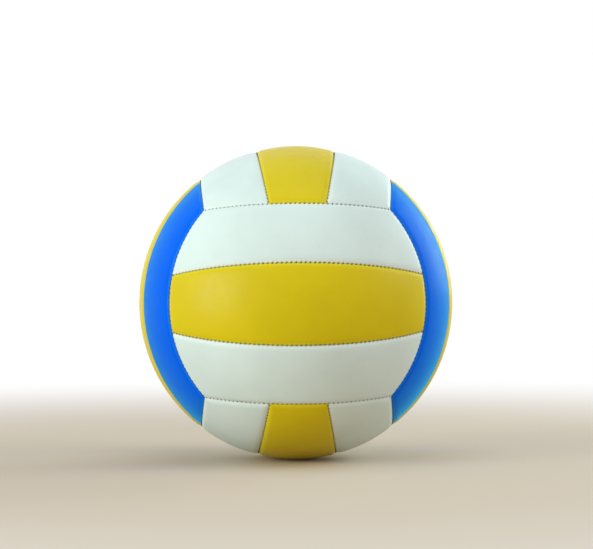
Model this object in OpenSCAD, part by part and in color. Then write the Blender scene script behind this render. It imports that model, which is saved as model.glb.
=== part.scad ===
// Volleyball of eighteen sewn panels over a rubber bladder with a needle valve.
// The origin is the centre of the ball, +Z is up, and the front face looks along -Y.
// Each of the six faces is three panels side by side, and the panels of neighbouring
// faces run at right angles to each other. Every seam is a circle on the ball.

/* [Ball] */
// Diameter over the crowns of the inflated cover
ball_d = 210; // [202:1:218]

/* [Panels] */
// Width of the three panels of one face together, halfway along them
face_w = 138; // [134:0.5:142]
// Width of a middle panel halfway along it
middle_w = 53; // [48:0.5:58]
// Width of a middle panel at its two ends
middle_end_w = 37; // [33:0.5:41]
// Thickness of the grained skin
skin_t = 0.9; // [0.7:0.1:1.2]
// Radius of the edge that rolls over into the seam
roll_r = 2.2; // [1.8:0.1:2.6]
// Thickness of the foam and cloth backing behind the skin
backing_t = 2.6; // [2.2:0.1:3]

/* [Seams] */
// Gap between the turned-in edges of two panels
seam_gap = 0.2; // [0.16:0.02:0.4]
// Diameter of the sewing thread
thread_d = 0.6; // [0.4:0.05:0.8]
// Distance from the end of a thread to the seam that it runs up to
thread_stop = 1.6; // [1.4:0.1:3]

/* [Bladder] */
// Wall of the rubber bladder
bladder_t = 0.7; // [0.5:0.1:1.2]

/* [Valve] */
// Diameter of the valve's neck, which shows in the cover
neck_d = 9; // [8.4:0.1:11]
// Depth of the neck's face below the crown of the cover
neck_sink = 0.5; // [0.3:0.1:1]
// Diameter of the flange that holds the valve inside the bladder
flange_d = 28; // [22:1:34]
// Thickness of the flange
flange_t = 1.6; // [1.2:0.1:2.4]
// Length of the housing, from its face to the end of its stem
housing_l = 24; // [21:0.5:30]
// Length of the taper at the end of the stem
tip_h = 4; // [2:0.5:6]
// Diameter of the plug that seals the valve
core_d = 6; // [5:0.1:6.6]
// Length of the plug
core_l = 17; // [14:0.5:19]
// Diameter of the guide hole for the inflation needle
needle_d = 2.5; // [2.2:0.1:2.9]
// Depth of the guide hole, below its flared mouth
needle_l = 6; // [5:0.5:8]
// Depth and width of the flare at the needle hole's mouth
flare_h = 0.8; // [0.5:0.1:1.2]
// Height of the ring that holds the plug in its housing
ring_h = 2.4; // [2:0.1:4]
// How far that ring stands out from the plug
ring_out = 0.5; // [0.3:0.05:0.7]
// Diameter of the cloth patch round the valve
patch_d = 34; // [30:1:40]
// Thickness of the cloth patch
patch_t = 0.8; // [0.5:0.1:1.2]

/* [Hidden] */
$fn = 120;

// Play between glued or nested layers
layer_gap = 0.1;
// Play between the thread and the rolled edges that it lies on
thread_gap = 0.05;
// How far a rolled edge swells past the flat of its turned-in edge
roll_swell = 0.05;
// Lean of the turned-in edges, which stand further apart at their inner ends
edge_draft = 5;
// How far a cutting shape runs past what it cuts
overrun = 5;

ball_r = ball_d / 2;
backing_r = ball_r - skin_t - layer_gap;
cover_in_r = backing_r - backing_t;
bladder_r = cover_in_r - layer_gap;
bladder_in_r = bladder_r - bladder_t;

// Angles on the ball, seen from its centre and measured from the middle of a face
degree = 180 / PI;
face_half = face_w / 2 / ball_r * degree;
middle_half = middle_w / 2 / ball_r * degree;

// An edge seam is a circle about an axis that leans edge_lean past the face's plane.
// It passes through the corner where three faces meet, a cube's corner seen from its centre.
corner = 1 / sqrt(3);
edge_lean = atan((sin(face_half) - corner) / (cos(face_half) - corner));
edge_cone = 90 + edge_lean - face_half;

// A strip seam parts two panels of one face. It ends on the edge seam of the next face,
// end_v from the face's middle line and end_w above the ball's centre.
end_v = middle_end_w / 2;
end_turn = asin(end_v / (ball_r * sin(edge_cone)));
end_w = ball_r * (cos(edge_lean) * cos(edge_cone) + sin(edge_lean) * sin(edge_cone) * cos(end_turn));
end_u = ball_r * (cos(edge_lean) * sin(edge_cone) * cos(end_turn) - sin(edge_lean) * cos(edge_cone));
strip_lean = atan((ball_r * sin(middle_half) - end_v) / (ball_r * cos(middle_half) - end_w));
strip_cone = 90 + strip_lean - middle_half;

// Room that a face's blanks take, past its corners and past the middles of its edges
reach = ball_r + overrun;
blank_u = ball_r * cos(face_half) + overrun;
blank_v = ball_r * max(corner, sin(face_half)) + overrun;
blank_w = cover_in_r * min(corner, sin(face_half)) - overrun;

// The thread lies in the groove, on the shoulders of both rolled edges
groove_half = seam_gap / 2 + roll_r - roll_swell;
groove_r = sqrt(pow(ball_r - roll_r + roll_swell, 2) - pow(groove_half, 2));
thread_r = groove_r + sqrt(pow(roll_r + thread_d / 2 + thread_gap, 2) - pow(groove_half, 2));
strip_ring_r = ball_r * sin(strip_cone);
edge_ring_r = ball_r * sin(edge_cone);
strip_half_arc = asin(end_u / strip_ring_r) - thread_stop / strip_ring_r * degree;
edge_half_arc = asin(corner * ball_r / edge_ring_r) - thread_stop / edge_ring_r * degree;

// Heights of the valve's pieces along its own axis, from the ball's centre
face_z = ball_r - neck_sink;
stem_z = face_z - housing_l;
core_top_z = face_z - layer_gap;
core_end_z = core_top_z - core_l;
ring_z = (core_top_z + core_end_z) / 2;
flare_z = core_top_z - flare_h;
flange_out_r = bladder_in_r - layer_gap;
neck_r = neck_d / 2;
core_r = core_d / 2;
socket_r = core_r + layer_gap;
tip_r = (socket_r + neck_r) / 2;
needle_r = needle_d / 2;
patch_r = patch_d / 2;

white = [0.87, 0.93, 0.91];
yellow = [0.84, 0.73, 0.09];
blue = [0.04, 0.39, 1];
cloth = [0.9, 0.88, 0.82];
thread_colour = [0.2, 0.2, 0.22];
rubber = [0.13, 0.13, 0.14];

// Turns of each face from looking up: its strips run along the face's own X
front_turn = [90, 0, 0];
back_turn = [-90, 0, 0];
top_turn = [0, 0, 90];
bottom_turn = [180, 0, 90];
left_turn = [0, -90, 0];
right_turn = [0, -90, 180];
// A half turn about a face's own middle swaps its two outer panels
half_turn = [0, 0, 180];
no_turn = [0, 0, 0];

// A point by its distance across a seam's cone and its distance along it, in the seam's
// half-plane, where X is the distance from the seam's axis and Y the height along it
function seam_point(cone, across, along) =
    [across * cos(cone) + along * sin(cone), along * cos(cone) - across * sin(cone)];

// Outline of what a seam takes away from a panel. side is 1 for a panel outside the
// seam's cone and -1 for one inside it, and inset is measured from the seam and the crown.
module seam_outline(cone, side, deep_r, inset, round_r) {
    wall = seam_gap / 2 + inset;
    across = wall + round_r - roll_swell;
    crown_r = ball_r - inset - round_r + roll_swell;
    along = sqrt(pow(crown_r, 2) - pow(across, 2));
    low_r = deep_r - overrun / 2;
    low = seam_point(cone, side * (wall + (along - low_r) * tan(edge_draft)), low_r);
    foot = seam_point(cone, side * wall, along);
    middle = seam_point(cone, side * across, along);
    rounded = [low, foot, middle, middle * reach / crown_r];
    plain = [low, seam_point(cone, side * wall, reach)];
    edge = round_r > 0 ? rounded : plain;
    top = edge[len(edge) - 1];
    inside = concat([[0, low[1]]], edge, [[reach, reach], [0, reach]]);
    outside = concat(edge, [[reach, top[1]], [reach, -reach], [0, -reach], [0, overrun - deep_r]]);
    difference() {
        polygon(side > 0 ? inside : outside);
        if (round_r > 0)
            translate(middle)
                circle(round_r);
    }
}

module seam_cut(cone, side, deep_r, inset, round_r) {
    rotate_extrude()
        seam_outline(cone, side, deep_r, inset, round_r);
}

// Turns a seam's axis from Z to its place beside a face, on the side of its +Y or its -Y
module beside(lean, sign) {
    rotate([-sign * (90 + lean), 0, 0])
        children();
}

// Trims a piece at a seam beside the face
module trim_side(lean, sign, cone, side, deep_r, inset, round_r) {
    difference() {
        children();
        beside(lean, sign)
            seam_cut(cone, side, deep_r, inset, round_r);
    }
}

// Trims a piece at the seam that ends the face's strips, at its +X or, turned, at its -X
module trim_end(turn, deep_r, inset, round_r) {
    difference() {
        children();
        rotate(turn)
            rotate([0, edge_lean, 0])
                seam_cut(edge_cone, -1, deep_r, inset, round_r);
    }
}

// Round layer of the ball, with its poles turned away from the face that is cut from it
module layer(outer_r, inner_r) {
    rotate([90, 0, 0])
        difference() {
            sphere(outer_r);
            sphere(inner_r);
        }
}

// The stretch of a layer that holds one strip of a face, from low_v to high_v across it
module strip_blank(outer_r, inner_r, low_v, high_v) {
    intersection() {
        layer(outer_r, inner_r);
        translate([-blank_u, low_v, blank_w])
            cube([2 * blank_u, high_v - low_v, reach - blank_w]);
    }
}

// A face's middle piece of a layer, inset from its seams
module middle_piece(outer_r, deep_r, inset, round_r) {
    trim_end(half_turn, deep_r, inset, round_r)
        trim_end(no_turn, deep_r, inset, round_r)
            trim_side(strip_lean, -1, strip_cone, 1, deep_r, inset, round_r)
                trim_side(strip_lean, 1, strip_cone, 1, deep_r, inset, round_r)
                    strip_blank(outer_r, deep_r, -middle_w / 2 - overrun, middle_w / 2 + overrun);
}

// A face's outer piece of a layer, on the side of the face's own +Y
module outer_piece(outer_r, deep_r, inset, round_r) {
    trim_end(half_turn, deep_r, inset, round_r)
        trim_end(no_turn, deep_r, inset, round_r)
            trim_side(edge_lean, 1, edge_cone, 1, deep_r, inset, round_r)
                trim_side(strip_lean, 1, strip_cone, -1, deep_r, inset, round_r)
                    strip_blank(outer_r, deep_r, 0, blank_v);
}

// A panel is a shallow tray: a skin whose rolled edges turn in along its seams
module middle_panel() {
    difference() {
        middle_piece(ball_r, cover_in_r, 0, roll_r);
        middle_piece(ball_r - skin_t, cover_in_r - layer_gap, skin_t, roll_r - skin_t);
    }
}

module outer_panel() {
    difference() {
        outer_piece(ball_r, cover_in_r, 0, roll_r);
        outer_piece(ball_r - skin_t, cover_in_r - layer_gap, skin_t, roll_r - skin_t);
    }
}

// The backing fills the tray, and stops at its rolled edges
module middle_backing() {
    middle_piece(backing_r, cover_in_r, roll_r, 0);
}

module outer_backing() {
    outer_piece(backing_r, cover_in_r, roll_r, 0);
}

// One stretch of thread along a seam beside the face
module seam_thread(lean, cone, sign, half_arc) {
    beside(lean, sign)
        rotate([0, 0, -sign * 90 - half_arc])
            rotate_extrude(angle = 2 * half_arc)
                translate(seam_point(cone, 0, thread_r))
                    circle(thread_d / 2, $fn = 32);
}

// Threads of the two seams that part one face's panels
module strip_threads() {
    for (sign = [-1, 1])
        seam_thread(strip_lean, strip_cone, sign, strip_half_arc);
}

// Threads of the two seams that join one face's outer panels to the next faces
module edge_threads() {
    for (sign = [-1, 1])
        seam_thread(edge_lean, edge_cone, sign, edge_half_arc);
}

// The valve's pieces are drawn about Z, with their outer end up
module valve_hole() {
    cylinder(h = reach, r = neck_r + layer_gap);
}

module front_upper_panel() color(white) rotate(front_turn) outer_panel();
module front_middle_panel() color(yellow) rotate(front_turn) middle_panel();
module front_lower_panel() color(white) rotate(front_turn) rotate(half_turn) outer_panel();
module back_upper_panel() color(white) rotate(back_turn) rotate(half_turn) outer_panel();
module back_lower_panel() color(white) rotate(back_turn) outer_panel();
module top_left_panel() color(white) rotate(top_turn) outer_panel();
module top_middle_panel() color(yellow) rotate(top_turn) middle_panel();
module top_right_panel() color(white) rotate(top_turn) rotate(half_turn) outer_panel();
module bottom_left_panel() color(white) rotate(bottom_turn) rotate(half_turn) outer_panel();
module bottom_middle_panel() color(yellow) rotate(bottom_turn) middle_panel();
module bottom_right_panel() color(white) rotate(bottom_turn) outer_panel();
module left_front_panel() color(blue) rotate(left_turn) rotate(half_turn) outer_panel();
module left_middle_panel() color(yellow) rotate(left_turn) middle_panel();
module left_back_panel() color(blue) rotate(left_turn) outer_panel();
module right_front_panel() color(blue) rotate(right_turn) outer_panel();
module right_middle_panel() color(yellow) rotate(right_turn) middle_panel();
module right_back_panel() color(blue) rotate(right_turn) rotate(half_turn) outer_panel();

// The valve's neck comes out through the middle of the back
module back_middle_panel() {
    color(yellow)
        rotate(back_turn)
            difference() {
                middle_panel();
                valve_hole();
            }
}

module front_upper_backing() color(cloth) rotate(front_turn) outer_backing();
module front_middle_backing() color(cloth) rotate(front_turn) middle_backing();
module front_lower_backing() color(cloth) rotate(front_turn) rotate(half_turn) outer_backing();
module back_upper_backing() color(cloth) rotate(back_turn) rotate(half_turn) outer_backing();
module back_lower_backing() color(cloth) rotate(back_turn) outer_backing();
module top_left_backing() color(cloth) rotate(top_turn) outer_backing();
module top_middle_backing() color(cloth) rotate(top_turn) middle_backing();
module top_right_backing() color(cloth) rotate(top_turn) rotate(half_turn) outer_backing();
module bottom_left_backing() color(cloth) rotate(bottom_turn) rotate(half_turn) outer_backing();
module bottom_middle_backing() color(cloth) rotate(bottom_turn) middle_backing();
module bottom_right_backing() color(cloth) rotate(bottom_turn) outer_backing();
module left_front_backing() color(cloth) rotate(left_turn) rotate(half_turn) outer_backing();
module left_middle_backing() color(cloth) rotate(left_turn) middle_backing();
module left_back_backing() color(cloth) rotate(left_turn) outer_backing();
module right_front_backing() color(cloth) rotate(right_turn) outer_backing();
module right_middle_backing() color(cloth) rotate(right_turn) middle_backing();
module right_back_backing() color(cloth) rotate(right_turn) rotate(half_turn) outer_backing();

// Behind the valve's panel the backing has a shallow recess, which the patch fills
module back_middle_backing() {
    color(cloth)
        rotate(back_turn)
            difference() {
                middle_backing();
                valve_hole();
                intersection() {
                    cylinder(h = ball_r, r = patch_r + layer_gap);
                    sphere(cover_in_r + patch_t + layer_gap);
                }
            }
}

module front_strip_threads() color(thread_colour) rotate(front_turn) strip_threads();
module back_strip_threads() color(thread_colour) rotate(back_turn) strip_threads();
module top_strip_threads() color(thread_colour) rotate(top_turn) strip_threads();
module bottom_strip_threads() color(thread_colour) rotate(bottom_turn) strip_threads();
module left_strip_threads() color(thread_colour) rotate(left_turn) strip_threads();
module right_strip_threads() color(thread_colour) rotate(right_turn) strip_threads();
module front_edge_threads() color(thread_colour) rotate(front_turn) edge_threads();
module back_edge_threads() color(thread_colour) rotate(back_turn) edge_threads();
module top_edge_threads() color(thread_colour) rotate(top_turn) edge_threads();
module bottom_edge_threads() color(thread_colour) rotate(bottom_turn) edge_threads();
module left_edge_threads() color(thread_colour) rotate(left_turn) edge_threads();
module right_edge_threads() color(thread_colour) rotate(right_turn) edge_threads();

module bladder() {
    color(rubber)
        rotate(back_turn)
            difference() {
                layer(bladder_r, bladder_in_r);
                valve_hole();
            }
}

// Neck and stem in one length of rubber, with a curved flange bonded inside the bladder
module valve_housing() {
    color(rubber)
        rotate(back_turn)
            difference() {
                union() {
                    translate([0, 0, stem_z + tip_h])
                        cylinder(h = housing_l - tip_h, r = neck_r);
                    translate([0, 0, stem_z])
                        cylinder(h = tip_h, r1 = tip_r, r2 = neck_r);
                    intersection() {
                        layer(flange_out_r, flange_out_r - flange_t);
                        cylinder(h = ball_r, r = flange_d / 2);
                    }
                }
                translate([0, 0, stem_z - overrun])
                    cylinder(h = housing_l + 2 * overrun, r = socket_r);
                translate([0, 0, ring_z - ring_h / 2 - layer_gap])
                    cylinder(h = ring_h + 2 * layer_gap, r = socket_r + ring_out);
            }
}

// The plug snaps into the housing by its ring, and seals round the needle
module valve_core() {
    color(rubber)
        rotate(back_turn)
            difference() {
                union() {
                    translate([0, 0, core_end_z])
                        cylinder(h = core_l, r = core_r);
                    translate([0, 0, ring_z - ring_h / 2])
                        cylinder(h = ring_h, r = core_r + ring_out);
                }
                translate([0, 0, flare_z - needle_l])
                    cylinder(h = needle_l + flare_h + overrun, r = needle_r);
                translate([0, 0, flare_z])
                    cylinder(h = 2 * flare_h, r1 = needle_r, r2 = needle_r + 2 * flare_h);
            }
}

module valve_patch() {
    color(cloth)
        rotate(back_turn)
            difference() {
                intersection() {
                    layer(cover_in_r + patch_t, cover_in_r);
                    cylinder(h = ball_r, r = patch_r);
                }
                valve_hole();
            }
}

front_upper_panel();
front_middle_panel();
front_lower_panel();
back_upper_panel();
back_middle_panel();
back_lower_panel();
top_left_panel();
top_middle_panel();
top_right_panel();
bottom_left_panel();
bottom_middle_panel();
bottom_right_panel();
left_front_panel();
left_middle_panel();
left_back_panel();
right_front_panel();
right_middle_panel();
right_back_panel();
front_upper_backing();
front_middle_backing();
front_lower_backing();
back_upper_backing();
back_middle_backing();
back_lower_backing();
top_left_backing();
top_middle_backing();
top_right_backing();
bottom_left_backing();
bottom_middle_backing();
bottom_right_backing();
left_front_backing();
left_middle_backing();
left_back_backing();
right_front_backing();
right_middle_backing();
right_back_backing();
front_strip_threads();
back_strip_threads();
top_strip_threads();
bottom_strip_threads();
left_strip_threads();
right_strip_threads();
front_edge_threads();
back_edge_threads();
top_edge_threads();
bottom_edge_threads();
left_edge_threads();
right_edge_threads();
bladder();
valve_housing();
valve_core();
valve_patch();
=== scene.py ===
"""A sewn volleyball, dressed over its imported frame.

Lengths are in metres in the row frame: the ball's centre is the origin, +Z is up and the
front face looks along -Y. Each face of the ball has a frame of its own, in which U runs
along its strips, V across them and W out of the ball. Every seam is a circle on the ball.
"""

import math

import bpy
import numpy as np
from mathutils import Euler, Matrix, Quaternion, Vector


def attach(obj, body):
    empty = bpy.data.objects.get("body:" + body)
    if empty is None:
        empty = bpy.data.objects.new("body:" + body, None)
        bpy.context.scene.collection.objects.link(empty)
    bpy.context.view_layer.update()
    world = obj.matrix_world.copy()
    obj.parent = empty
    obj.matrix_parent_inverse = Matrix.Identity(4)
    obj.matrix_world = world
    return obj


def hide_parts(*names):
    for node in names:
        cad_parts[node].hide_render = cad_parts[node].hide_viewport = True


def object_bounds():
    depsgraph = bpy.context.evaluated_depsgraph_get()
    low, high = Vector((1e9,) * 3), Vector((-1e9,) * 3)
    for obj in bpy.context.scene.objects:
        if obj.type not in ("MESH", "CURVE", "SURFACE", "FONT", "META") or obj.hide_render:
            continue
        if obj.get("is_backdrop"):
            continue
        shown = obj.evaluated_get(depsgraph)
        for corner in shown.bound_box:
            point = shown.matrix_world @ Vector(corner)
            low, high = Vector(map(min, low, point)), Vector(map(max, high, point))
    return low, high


bl_info = {
    "name": "Volleyball",
    "version": (1, 0, 0),
    "blender": (4, 5, 0),
    "location": "View3D > Sidebar > Volleyball",
    "description": "Builds the cover, the stitching and the valve of a volleyball",
    "category": "Object",
}

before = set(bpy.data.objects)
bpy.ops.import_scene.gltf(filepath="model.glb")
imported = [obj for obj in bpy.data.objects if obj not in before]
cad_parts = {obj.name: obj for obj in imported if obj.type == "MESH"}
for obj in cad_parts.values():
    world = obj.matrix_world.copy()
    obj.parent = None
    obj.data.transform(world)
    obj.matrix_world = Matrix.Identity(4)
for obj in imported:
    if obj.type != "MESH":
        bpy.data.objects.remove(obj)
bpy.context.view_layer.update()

BODY = "root"
MM = 0.001
PURE_WHITE = (1, 1, 1, 1)

# The photograph's frame, in pixels, and where the ball's centre lies in it
IMAGE_WIDTH = 593
IMAGE_HEIGHT = 549
BALL_ROW = 302.5
BALL_COLUMN = 295.7

# Turns of each face from looking up, in degrees, as in the part's source
FACE_TURNS = {
    "front": (90, 0, 0),
    "back": (-90, 0, 0),
    "top": (0, 0, 90),
    "bottom": (180, 0, 90),
    "left": (0, -90, 0),
    "right": (0, -90, 180),
}
# Each face's outer panels: the one on its own +V side, then the one on its -V side
FACE_SIDES = {
    "front": ("upper", "lower"),
    "back": ("lower", "upper"),
    "top": ("left", "right"),
    "bottom": ("right", "left"),
    "left": ("back", "front"),
    "right": ("front", "back"),
}
BLUE_FACES = ("left", "right")
VALVE_FACE = "back"

# Columns of a panel's outermost rows, along it and across it
LONG_COLUMNS = 448
SHORT_COLUMNS = 112
# Rows of the outer surface: mm from the seam, and how many columns each step joins
SURFACE_ROWS = (
    *((mm, 1) for mm in (0.0, 0.08, 0.2, 0.36, 0.56, 0.8, 1.1, 1.5)),
    *((2.0, 2), (2.8, 2), (3.8, 4), (5.4, 8)),
)
# Rows of the hidden side, from its middle to the turned-in edge
LINING_ROWS = ((5.4, 8), (3.8, 4), (2.4, 2), (1.1, 1))
# Depth in mm at which the turned-in wall of an edge has a row between its top and its foot
WALL_DEPTH = 2.4
# Rounds in which a loop's corners are brought to their distance from the border
CORNER_ROUNDS = 3
# Step of a coordinate over which its span in metres is measured
BORDER_STEP = 0.01
# Grid cells on each side of the valve that its own round rows replace
VALVE_CELLS = 3
# Rows round the valve's hole: mm from the hole, and columns
VALVE_ROWS = ((3.4, 48), *((mm, 96) for mm in (1.9, 1.1, 0.7, 0.45, 0.25, 0.1, 0.0)))
VALVE_LINING_ROWS = ((0.0, 96), (1.9, 48))
# Share of the pitch over which a stitch pulls the skin down
PULL_SHARE = 0.3
# Power with which the shoulder falls, and the power by which the drops at a corner add up
SHOULDER_POWER = 1.5
CORNER_POWER = 4
# How much faster the puckers fade than the shoulder
RIPPLE_FADE = 2


def from_srgb(red, green, blue):
    """Linear colour from its values on a screen, 0 to 255, by the sRGB formula."""
    shares = [value / 255 for value in (red, green, blue)]
    linear = [s / 12.92 if s <= 0.04045 else ((s + 0.055) / 1.055) ** 2.4 for s in shares]
    return (*linear, 1.0)


def crown_radius():
    """Radius of the cover, from the frame's own front panel."""
    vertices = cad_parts["front_middle_panel"].data.vertices
    return max(vertex.co.length for vertex in vertices)


def number(name, description, default, **more):
    """A number that a user may change."""
    return bpy.props.FloatProperty(name=name, description=description, default=default, **more)


def length(name, description, default):
    """A length that a user may change."""
    return number(name, description, default, unit="LENGTH", precision=5)


def colour(name, description, default):
    """A colour that a user may change."""
    return bpy.props.FloatVectorProperty(
        name=name, description=description, default=default, subtype="COLOR", size=4, min=0, max=1
    )


class PanelSizes(bpy.types.PropertyGroup):
    """Sizes of the cover's panels"""

    ball_radius: length("Ball radius", "Radius over the crowns of the cover", crown_radius())
    face_width: length("Face width", "Width of a face's three panels, halfway along them", 0.138)
    middle_width: length("Middle width", "Width of a middle panel, halfway along it", 0.053)
    middle_end_width: length("Middle end width", "Width of a middle panel at its ends", 0.037)
    skin: length("Skin", "Thickness of the skin", 0.9 * MM)
    edge_depth: length("Edge depth", "Depth to which the edges turn in", 3.3 * MM)
    seam_gap: length("Seam gap", "Gap between two turned-in edges", 0.004 * MM)
    roll: length("Roll", "Radius of an edge halfway between two stitches", 0.04 * MM)
    stitch_roll: length("Stitch roll", "Radius of an edge where a stitch pulls it in", 0.45 * MM)
    shoulder: length("Shoulder", "Depth of the soft shoulder along a seam", 0.85 * MM)
    shoulder_reach: length("Shoulder reach", "Width of the soft shoulder", 3.4 * MM)
    puff: length("Puff", "Height of a panel's crown over its border", 0.5 * MM)
    puff_reach: length("Puff reach", "Distance over which a panel rises to its crown", 9.0 * MM)
    unevenness: length("Unevenness", "Height of the slow waves in the cover", 0.05 * MM)


class StitchSizes(bpy.types.PropertyGroup):
    """Sizes of the stitching"""

    pitch: length("Pitch", "Distance from one stitch to the next", 3.0 * MM)
    stop: length("Stop", "Distance from the last stitch to the end of its seam", 1.8 * MM)
    thread_radius: length("Thread radius", "Radius of the sewing thread", 0.21 * MM)
    slant: length("Slant", "How far a stitch leads or lags on each side of the seam", 0.34 * MM)
    hole: length("Hole", "Half length of the pit that a stitch pulls", 0.34 * MM)
    hole_depth: length("Hole depth", "Depth of that pit", 0.8 * MM)
    hole_opening: length("Hole opening", "How far a stitch pulls an edge from the seam", 0.2 * MM)
    ripple: length("Ripple", "Depth of the puckers that run out from the stitches", 0.05 * MM)
    wander: length("Wander", "How far the seam swings aside between two stitches", 0.16 * MM)
    half_width: length("Half width", "How far the thread crosses on each side", 0.62 * MM)
    depth: length("Depth", "Depth of the thread's middle below the crown", 1.42 * MM)
    rise: length("Rise", "How far the thread rises over the seam and dips below it", 0.5 * MM)


class ValveSizes(bpy.types.PropertyGroup):
    """Sizes of the valve"""

    neck_radius: length("Neck radius", "Radius of the neck", 4.5 * MM)
    hole_radius: length("Hole radius", "Radius of the cover's hole round the neck", 4.6 * MM)
    sink: length("Sink", "Depth of the neck's face below the crown", 0.5 * MM)
    rim: length("Rim", "Rounding of the cover's edge round the neck", 0.6 * MM)


class Colours(bpy.types.PropertyGroup):
    """Colours of the pieces"""

    white: colour("White", "Colour of the pale panels", from_srgb(226, 245, 242))
    yellow: colour("Yellow", "Colour of the middle panels", from_srgb(225, 204, 14))
    blue: colour("Blue", "Colour of the dark panels", from_srgb(0, 97, 255))
    # Paler skin on the rolled edges: stretched skin, and a painted highlight where the edge turns
    # to the light
    white_edge: colour("White edge", "Pale skin stretched at an edge", from_srgb(243, 252, 250))
    yellow_edge: colour("Yellow edge", "Yellow skin stretched at an edge", from_srgb(236, 224, 40))
    blue_edge: colour("Blue edge", "Dark skin stretched at an edge", from_srgb(20, 150, 255))
    thread: colour("Thread", "Colour of the sewing thread", from_srgb(70, 72, 74))
    rubber: colour("Rubber", "Colour of the valve", from_srgb(44, 44, 46))
    bladder: colour("Bladder", "Colour of the bladder", from_srgb(38, 37, 38))
    cloth: colour("Cloth", "Colour of the backing's cloth", from_srgb(228, 224, 212))


class StageSettings(bpy.types.PropertyGroup):
    """Floor, light and camera"""

    distance: length("Distance", "Distance from the camera to the ball's centre", 1.31)
    height: length("Height", "Height of the camera over the ball's centre", 0.0118)
    azimuth: number("Azimuth", "Turn of the camera round the ball", -0.0185, subtype="ANGLE")
    roll: number("Roll", "Roll of the camera", -0.0057, subtype="ANGLE")
    outline: number("Outline", "Radius of the ball in the image, in pixels", 156.3)
    floor: colour("Floor", "Colour of the floor where it is seen", from_srgb(220, 206, 188))
    bounce: colour("Bounce", "Colour of the floor to the light", from_srgb(200, 177, 154))
    sky: number("Sky", "Strength of the light from all round", 0.47)


SETTINGS = {
    "volleyball_panels": PanelSizes,
    "volleyball_stitches": StitchSizes,
    "volleyball_valve": ValveSizes,
    "volleyball_colours": Colours,
    "volleyball_stage": StageSettings,
}


class SeamPlan:
    """Where the seams run, worked out from the panel sizes."""

    def __init__(self, sizes):
        self.radius = sizes.ball_radius
        self.face_half = sizes.face_width / 2 / self.radius
        self.middle_half = sizes.middle_width / 2 / self.radius
        corner = 1 / math.sqrt(3)
        self.edge_lean = math.atan(
            (math.sin(self.face_half) - corner) / (math.cos(self.face_half) - corner)
        )
        self.edge_cone = math.pi / 2 + self.edge_lean - self.face_half
        end_v = sizes.middle_end_width / 2
        lean, cone = self.edge_lean, self.edge_cone
        turn = math.asin(end_v / (self.radius * math.sin(cone)))
        end_w = math.cos(lean) * math.cos(cone) + math.sin(lean) * math.sin(cone) * math.cos(turn)
        end_u = math.cos(lean) * math.sin(cone) * math.cos(turn) - math.sin(lean) * math.cos(cone)
        self.strip_lean = math.atan(
            (self.radius * math.sin(self.middle_half) - end_v)
            / (self.radius * (math.cos(self.middle_half) - end_w))
        )
        self.strip_cone = math.pi / 2 + self.strip_lean - self.middle_half
        self.end_angle = math.pi / 2 - self.face_half
        self.strip_half_turn = math.asin(end_u / math.sin(self.strip_cone))
        self.edge_half_turn = math.asin(corner / math.sin(self.edge_cone))

    def side_seam(self, edge, sign, direction, outside):
        """Seam along a face's strips: a strip seam or an edge seam, on the +V or -V side."""
        lean = self.edge_lean if edge else self.strip_lean
        axis = (0, sign * math.cos(lean), -math.sin(lean))
        middle = (0, sign * math.sin(lean), math.cos(lean))
        return Seam(self, edge, axis, middle, (direction, 0, 0), outside)

    def end_seam(self, sign):
        """Seam across the +U or -U end of a face's strips."""
        lean = self.edge_lean
        axis = (-sign * math.sin(lean), 0, math.cos(lean))
        middle = (sign * math.cos(lean), 0, math.sin(lean))
        return Seam(self, True, axis, middle, (0, sign, 0), False)


class Seam:
    """A circle on the ball, seen from a panel that it borders.

    edge tells a seam between two faces from one between two strips. middle points to the
    seam's middle, along points from there along it, and outside says that the panel lies
    outside the cone round the seam's axis.
    """

    def __init__(self, plan, edge, axis, middle, along, outside):
        self.axis, self.middle, self.along = (np.array(way, float) for way in (axis, middle, along))
        self.cone = plan.edge_cone if edge else plan.strip_cone
        self.half_turn = plan.edge_half_turn if edge else plan.strip_half_turn
        self.side = 1 if outside else -1
        self.radius = plan.radius
        self.ring = plan.radius * math.sin(self.cone)

    def distance(self, unit):
        """Distance of each point from the seam, into the panel."""
        angle = np.arccos(np.clip(unit @ self.axis, -1, 1))
        return self.side * (angle - self.cone) * self.radius

    def inward(self, unit):
        """Direction from the seam into the panel, at each point."""
        height = (unit @ self.axis)[:, None]
        away = unit * height - self.axis
        return self.side * away / np.sqrt(1 - height**2)

    def run(self, unit):
        """Distance of each point along the seam, from its middle."""
        return np.arctan2(unit @ self.along, unit @ self.middle) * self.ring

    def stitch_places(self, stitches):
        """Distances along the seam at which it is stitched."""
        reach = self.half_turn * self.ring - stitches.stop
        steps = round(2 * reach / stitches.pitch)
        return np.linspace(-reach, reach, steps + 1)

    def from_stitch(self, unit, stitches, lead=0.0):
        """Distance of each point along the seam from its nearest stitch, moved by a lead."""
        places = self.stitch_places(stitches)
        step = places[1] - places[0]
        run = self.run(unit) - lead
        nearest = np.clip(np.round((run - places[0]) / step), 0, len(places) - 1)
        return run - places[0] - nearest * step

    def swing(self, unit, stitches):
        """How far the seam swings away from its axis. Both of its panels have the same."""
        wave = np.cos(self.from_stitch(unit, stitches) / stitches.pitch * 2 * math.pi)
        to_end = self.half_turn * self.ring - np.abs(self.run(unit))
        return stitches.wander * wave * np.clip(to_end / stitches.stop, 0, 1)

    def point(self, run, across, depth):
        """Point at a distance along the seam, across it and below the crown."""
        turn = run / self.ring
        cone = self.cone + across / self.radius
        out = np.cos(turn)[:, None] * self.middle + np.sin(turn)[:, None] * self.along
        unit = np.cos(cone)[:, None] * self.axis + np.sin(cone)[:, None] * out
        return unit * (self.radius - depth)[:, None]


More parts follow.
